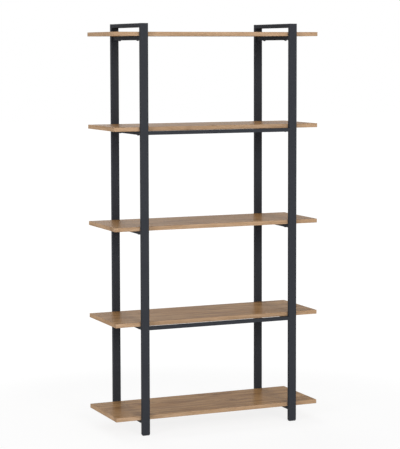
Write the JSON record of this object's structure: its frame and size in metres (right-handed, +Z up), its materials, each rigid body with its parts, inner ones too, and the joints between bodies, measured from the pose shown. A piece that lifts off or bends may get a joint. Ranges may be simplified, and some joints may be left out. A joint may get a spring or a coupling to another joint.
{
  "type": "open shelf bookcase",
  "caption": "Open bookcase: wood-decor boards that overhang two black tube ladder frames, each screwed down onto the rungs under it.",
  "frame": {"origin": "on the floor, at the middle of the footprint", "axes": "+Z up; X along the boards, +X to the right seen from the front; +Y from the front to the back"},
  "size_m": [0.98, 0.38, 1.8],
  "materials": {
    "frame_paint": "anthracite black powder coat, satin, fine texture",
    "board_oak": "oak decor on particle board, matt, grain along the board, banded edges",
    "glide_plastic": "black moulded plastic",
    "fastener_steel": "black-finished steel, hexagon socket"
  },
  "bodies": {
    "root": {"left_front_post": "frame_paint", "left_front_glide": "glide_plastic", "left_rear_post": "frame_paint", "left_rear_glide": "glide_plastic", "left_top_rail": "frame_paint", "rung_left_1": "frame_paint", "screw_left_1_front": "fastener_steel", "screw_left_1_rear": "fastener_steel", "rung_left_2": "frame_paint", "screw_left_2_front": "fastener_steel", "screw_left_2_rear": "fastener_steel", "rung_left_3": "frame_paint", "screw_left_3_front": "fastener_steel", "screw_left_3_rear": "fastener_steel", "rung_left_4": "frame_paint", "screw_left_4_front": "fastener_steel", "screw_left_4_rear": "fastener_steel", "rung_left_5": "frame_paint", "screw_left_5_front": "fastener_steel", "screw_left_5_rear": "fastener_steel", "right_front_post": "frame_paint", "right_front_glide": "glide_plastic", "right_rear_post": "frame_paint", "right_rear_glide": "glide_plastic", "right_top_rail": "frame_paint", "rung_right_1": "frame_paint", "screw_right_1_front": "fastener_steel", "screw_right_1_rear": "fastener_steel", "rung_right_2": "frame_paint", "screw_right_2_front": "fastener_steel", "screw_right_2_rear": "fastener_steel", "rung_right_3": "frame_paint", "screw_right_3_front": "fastener_steel", "screw_right_3_rear": "fastener_steel", "rung_right_4": "frame_paint", "screw_right_4_front": "fastener_steel", "screw_right_4_rear": "fastener_steel", "rung_right_5": "frame_paint", "screw_right_5_front": "fastener_steel", "screw_right_5_rear": "fastener_steel", "board_1": "board_oak", "board_2": "board_oak", "board_3": "board_oak", "board_4": "board_oak", "board_5": "board_oak", "stretcher_front_2": "frame_paint", "bolt_left_front_2": "fastener_steel", "bolt_right_front_2": "fastener_steel", "stretcher_rear_2": "frame_paint", "bolt_left_rear_2": "fastener_steel", "bolt_right_rear_2": "fastener_steel", "stretcher_front_4": "frame_paint", "bolt_left_front_4": "fastener_steel", "bolt_right_front_4": "fastener_steel", "stretcher_rear_4": "frame_paint", "bolt_left_rear_4": "fastener_steel", "bolt_right_rear_4": "fastener_steel"}
  },
  "joints": []
}
